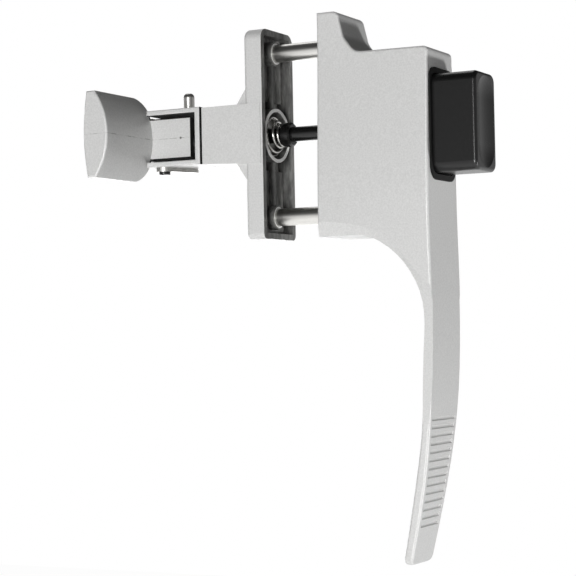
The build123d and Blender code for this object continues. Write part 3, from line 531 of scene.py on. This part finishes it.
def makeSpringTree():  # a coil along +X from radius to radius, its end turns closed
    tree = bpy.data.node_groups.new("coilSpring", "GeometryNodeTree")
    for name, kind in (
        ("Start Radius", "Float"), ("End Radius", "Float"), ("Length", "Float"), ("Turns", "Float"),
        ("Wire Radius", "Float"), ("Finish", "Material"),
    ):
        tree.interface.new_socket(name, in_out="INPUT", socket_type="NodeSocket" + kind)
    tree.interface.new_socket("Geometry", in_out="OUTPUT", socket_type="NodeSocketGeometry")
    given = addNode(tree, "NodeGroupInput")
    line = addNode(tree, "GeometryNodeCurvePrimitiveLine", {"End": (1, 0, 0)})
    steps = addNode(
        tree, "ShaderNodeMath", {"operation": "MULTIPLY", 1: coilForm["steps"]}, {0: (given, "Turns")},
    )
    points = addNode(
        tree, "GeometryNodeResampleCurve", {"mode": "COUNT"}, {"Curve": (line, 0), "Count": (steps, 0)},
    )
    along = addNode(tree, "GeometryNodeSplineParameter")
    # shares of the way at which the first closed turn ends and the last one starts
    closed = addNode(tree, "ShaderNodeMath", {"operation": "DIVIDE", 0: 1.0}, {1: (given, "Turns")})
    opened = addNode(tree, "ShaderNodeMath", {"operation": "SUBTRACT", 0: 1.0}, {1: (closed, 0)})
    wireDiameter = addNode(
        tree, "ShaderNodeMath", {"operation": "MULTIPLY", 1: 2.0}, {0: (given, "Wire Radius")},
    )
    solid = addNode(
        tree, "ShaderNodeMath", {"operation": "MULTIPLY", 1: coilForm["closedEnds"]},
        {0: (given, "Wire Radius")},
    )
    free = addNode(
        tree, "ShaderNodeMath", {"operation": "SUBTRACT"}, {0: (given, "Length"), 1: (solid, 0)},
    )
    firstTurn = addNode(
        tree, "ShaderNodeMapRange", {"From Min": 0.0},
        {"Value": (along, "Factor"), "From Max": (closed, 0), "To Max": (wireDiameter, 0)},
    )
    middle = addNode(
        tree, "ShaderNodeMapRange", {},
        {"Value": (along, "Factor"), "From Min": (closed, 0), "From Max": (opened, 0), "To Max": (free, 0)},
    )
    lastTurn = addNode(
        tree, "ShaderNodeMapRange", {"From Max": 1.0},
        {"Value": (along, "Factor"), "From Min": (opened, 0), "To Max": (wireDiameter, 0)},
    )
    rise = addNode(tree, "ShaderNodeMath", {"operation": "ADD"}, {0: (firstTurn, 0), 1: (middle, 0)})
    riseAll = addNode(tree, "ShaderNodeMath", {"operation": "ADD"}, {0: (rise, 0), 1: (lastTurn, 0)})
    height = addNode(
        tree, "ShaderNodeMath", {"operation": "ADD"}, {0: (riseAll, 0), 1: (given, "Wire Radius")},
    )
    radius = addNode(
        tree, "ShaderNodeMapRange", {},
        {"Value": (along, "Factor"), "From Min": (closed, 0), "From Max": (opened, 0),
         "To Min": (given, "Start Radius"), "To Max": (given, "End Radius")},
    )
    turned = addNode(
        tree, "ShaderNodeMath", {"operation": "MULTIPLY"}, {0: (along, "Factor"), 1: (given, "Turns")},
    )
    angle = addNode(tree, "ShaderNodeMath", {"operation": "MULTIPLY", 1: 2 * math.pi}, {0: (turned, 0)})
    cosine = addNode(tree, "ShaderNodeMath", {"operation": "COSINE"}, {0: (angle, 0)})
    sine = addNode(tree, "ShaderNodeMath", {"operation": "SINE"}, {0: (angle, 0)})
    across = addNode(tree, "ShaderNodeMath", {"operation": "MULTIPLY"}, {0: (cosine, 0), 1: (radius, 0)})
    up = addNode(tree, "ShaderNodeMath", {"operation": "MULTIPLY"}, {0: (sine, 0), 1: (radius, 0)})
    spot = addNode(tree, "ShaderNodeCombineXYZ", links={"X": (height, 0), "Y": (across, 0), "Z": (up, 0)})
    coil = addNode(tree, "GeometryNodeSetPosition", links={"Geometry": (points, 0), "Position": (spot, 0)})
    wire = addNode(
        tree, "GeometryNodeCurvePrimitiveCircle", {"Resolution": coilForm["sides"]},
        {"Radius": (given, "Wire Radius")},
    )
    drawn = addNode(
        tree, "GeometryNodeCurveToMesh", {"Fill Caps": True},
        {"Curve": (coil, 0), "Profile Curve": (wire, 0)},
    )
    smooth = addNode(tree, "GeometryNodeSetShadeSmooth", links={"Geometry": (drawn, 0)})
    real = addNode(tree, "GeometryNodeRealizeInstances", links={"Geometry": (smooth, 0)})
    dressed = addNode(
        tree, "GeometryNodeSetMaterial", links={"Geometry": (real, 0), "Material": (given, "Finish")},
    )
    addNode(tree, "NodeGroupOutput", links={"Geometry": (dressed, 0)})
    return tree


def addSpring(node, spring, tree):  # a wound spring with closed ends in the place of the plain CAD coil
    low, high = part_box(node)
    reach = (high.z - low.z) / 2 - spring["wireRadius"]
    values = {
        "Start Radius": reach, "End Radius": reach * spring["taper"], "Length": high.x - low.x,
        "Turns": spring["turns"], "Wire Radius": spring["wireRadius"], "Finish": finishes["spring_wire"],
    }
    carrier = bpy.data.objects.new(node + "Wound", bpy.data.meshes.new(node + "Wound"))
    bpy.context.scene.collection.objects.link(carrier)
    winding = carrier.modifiers.new("winding", "NODES")
    winding.node_group = tree
    for socket in tree.interface.items_tree:
        if socket.in_out == "INPUT":
            winding[socket.identifier] = values[socket.name]
    bpy.context.view_layer.update()
    seen = carrier.evaluated_get(bpy.context.evaluated_depsgraph_get())
    wound = bpy.data.meshes.new_from_object(seen)
    carrier.modifiers.clear()
    wound.transform(Matrix.Translation((low.x, 0, 0)))
    carrier.data = wound
    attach(carrier, "base")
    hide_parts(node)
    return carrier, low, high


torsionSpring = {
    "node": "latch_spring",
    "wireDiameter": 0.5 * mm,
    "weld": 0.001 * mm,  # the solid's loose triangles are joined within this distance
    "crease": 40,  # degrees; sharper edges, at the cut ends of the wire, stay sharp
}


def addTorsionSpring():  # the same wire form, its loose triangles joined and its shading smoothed, in place of the CAD spring
    form = bmesh.new()
    form.from_mesh(nodes[torsionSpring["node"]].data)
    bmesh.ops.remove_doubles(form, verts=form.verts, dist=torsionSpring["weld"])
    mesh = bpy.data.meshes.new("latchSpringWound")
    form.to_mesh(mesh)
    form.free()
    mesh.materials.append(finishes["spring_wire"])
    mesh.shade_smooth()
    mesh.set_sharp_from_angle(angle=math.radians(torsionSpring["crease"]))
    wound = bpy.data.objects.new("latchSpringWound", mesh)
    bpy.context.scene.collection.objects.link(wound)
    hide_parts(torsionSpring["node"])
    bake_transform(wound)


springTree = makeSpringTree()
for node, spring in springs.items():
    coil, low, high = addSpring(node, spring, springTree)
    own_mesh(coil)
addTorsionSpring()
print("springs wound")


studio = {
    "ambient": 0.10,  # soft light from the room, at and below the horizon
    "ceiling": 0.06,  # share of that light left overhead
    "fade": (-0.20, 0.35),  # heights in the room between which that light falls to the ceiling's share
    "underLight": 0.11,  # soft light that the floor sends up, as a light table does
    "floorDrop": 620 * mm,  # the part hangs well above the floor, clear of the low lamps
    "floorSize": 8.0,  # metres
    "floorGlow": 0.97,  # how bright the camera sees the floor's own light, where 1 is white
    "floorColour": "#f4f4f4",
    "lampDistance": 1.3,  # metres from the middle of the part
}
lamps = {
    "frontLamp": {"from": (0.16, -0.97, -0.10), "size": 0.55, "power": 14.4},
    "sideLamp": {"from": (0.90, 0.20, -0.29), "size": 0.10, "power": 7.6},
    "backLamp": {"from": (-0.66, 0.75, -0.05), "size": 0.80, "power": 6.5},
    "skyLamp": {"from": (-0.40, 0.45, 0.80), "size": 0.80, "power": 2.4},
}
aim = (cadBox[0] + cadBox[1]) / 2


def addLamp(name, lamp):
    data = bpy.data.lights.new(name, "AREA")
    data.shape = "DISK"
    data.size = lamp["size"]
    data.energy = lamp["power"]
    light = bpy.data.objects.new(name, data)
    bpy.context.scene.collection.objects.link(light)
    away = Vector(lamp["from"]).normalized()
    light.location = aim + away * studio["lampDistance"]
    light.rotation_euler = away.to_track_quat("Z", "Y").to_euler()


def addSeenRays(tree, path):  # 1 for what the camera sees, also in reflections, and 0 for light on the part
    direct = addNode(
        tree, "ShaderNodeMath", {"operation": "ADD"},
        {0: (path, "Is Camera Ray"), 1: (path, "Is Glossy Ray")},
    )
    return addNode(
        tree, "ShaderNodeMath", {"operation": "ADD", "use_clamp": True},
        {0: (direct, 0), 1: (path, "Is Transmission Ray")},
    )


def addFloor():
    half = studio["floorSize"] / 2
    z = cadBox[0].z - studio["floorDrop"]
    corners = [(-half, -half, z), (half, -half, z), (half, half, z), (-half, half, z)]
    mesh = bpy.data.meshes.new("floor")
    mesh.from_pydata(corners, [], [(0, 1, 2, 3)])
    floor = bpy.data.objects.new("floor", mesh)
    bpy.context.scene.collection.objects.link(floor)
    material = bpy.data.materials.new("paleFloor")
    material.use_nodes = True
    tree = material.node_tree
    tree.nodes.clear()
    path = addNode(tree, "ShaderNodeLightPath")
    seen = addSeenRays(tree, path)
    level = addNode(
        tree, "ShaderNodeMapRange", {"To Min": studio["underLight"], "To Max": studio["floorGlow"]},
        {"Value": (seen, 0)},
    )
    glow = addNode(tree, "ShaderNodeEmission", {"Color": (1, 1, 1, 1)}, {"Strength": (level, 0)})
    paint = addNode(tree, "ShaderNodeBsdfDiffuse", {"Color": toLinear(studio["floorColour"])})
    both = addNode(tree, "ShaderNodeAddShader", links={0: (glow, 0), 1: (paint, 0)})
    addNode(tree, "ShaderNodeOutputMaterial", links={"Surface": (both, 0)})
    mesh.materials.append(material)


def addRoom():  # white for the camera; reflections and soft light fade towards a darker ceiling
    world = bpy.data.worlds.new("studioRoom")
    bpy.context.scene.world = world
    world.use_nodes = True
    tree = world.node_tree
    tree.nodes.clear()
    place = addNode(tree, "ShaderNodeTexCoord")
    split = addNode(tree, "ShaderNodeSeparateXYZ", links={"Vector": (place, "Generated")})
    fadeStart, fadeEnd = studio["fade"]
    height = addNode(
        tree, "ShaderNodeMapRange",
        {"From Min": fadeStart, "From Max": fadeEnd, "To Min": 1.0, "To Max": studio["ceiling"]},
        {"Value": (split, "Z")},
    )
    path = addNode(tree, "ShaderNodeLightPath")
    seen = addSeenRays(tree, path)
    sweepLevel = addNode(
        tree, "ShaderNodeMath", {"operation": "MAXIMUM"},
        {0: (path, "Is Camera Ray"), 1: (height, "Result")},
    )
    sweep = addNode(tree, "ShaderNodeBackground", {"Color": (1, 1, 1, 1)}, {"Strength": (sweepLevel, 0)})
    softLevel = addNode(
        tree, "ShaderNodeMath", {"operation": "MULTIPLY", 1: studio["ambient"]}, {0: (height, "Result")},
    )
    soft = addNode(tree, "ShaderNodeBackground", {"Color": (1, 1, 1, 1)}, {"Strength": (softLevel, 0)})
    mix = addNode(tree, "ShaderNodeMixShader", links={0: (seen, 0), 1: (soft, 0), 2: (sweep, 0)})
    addNode(tree, "ShaderNodeOutputWorld", links={"Surface": (mix, 0)})


viewpoint = {
    "target": Vector((-14.2133, 0, -41.3764)) * mm,
    "azimuth": 27.7059,  # degrees, as the next two
    "elevation": -1.4569,
    "roll": -1.1329,
    "distance": 486.04 * mm,
    "lens": 112.5,  # a camera's own millimetres, as the sensor's width
    "sensor": 36,
    "clip": 10 * mm,
}


def addCamera():  # at the photograph's own viewpoint
    azimuth, elevation, roll = (math.radians(viewpoint[k]) for k in ("azimuth", "elevation", "roll"))
    level = Vector((math.cos(azimuth), math.sin(azimuth), 0))
    ahead = Vector((-math.sin(azimuth), math.cos(azimuth), 0))
    back = Vector((0, 0, math.sin(elevation))) - ahead * math.cos(elevation)
    plumb = back.cross(level)
    right = level * math.cos(roll) + plumb * math.sin(roll)
    up = plumb * math.cos(roll) - level * math.sin(roll)
    data = bpy.data.cameras.new("photoCamera")
    data.lens = viewpoint["lens"]
    data.sensor_width = viewpoint["sensor"]
    data.clip_start = viewpoint["clip"]
    camera = bpy.data.objects.new("photoCamera", data)
    bpy.context.scene.collection.objects.link(camera)
    turn = Matrix((right, up, back)).transposed().to_4x4()
    camera.matrix_world = Matrix.Translation(viewpoint["target"] + back * viewpoint["distance"]) @ turn
    bpy.context.scene.camera = camera


for name, lamp in lamps.items():
    addLamp(name, lamp)
addFloor()
addRoom()
addCamera()
bpy.context.scene.view_settings.view_transform = "Standard"
print("studio ready")
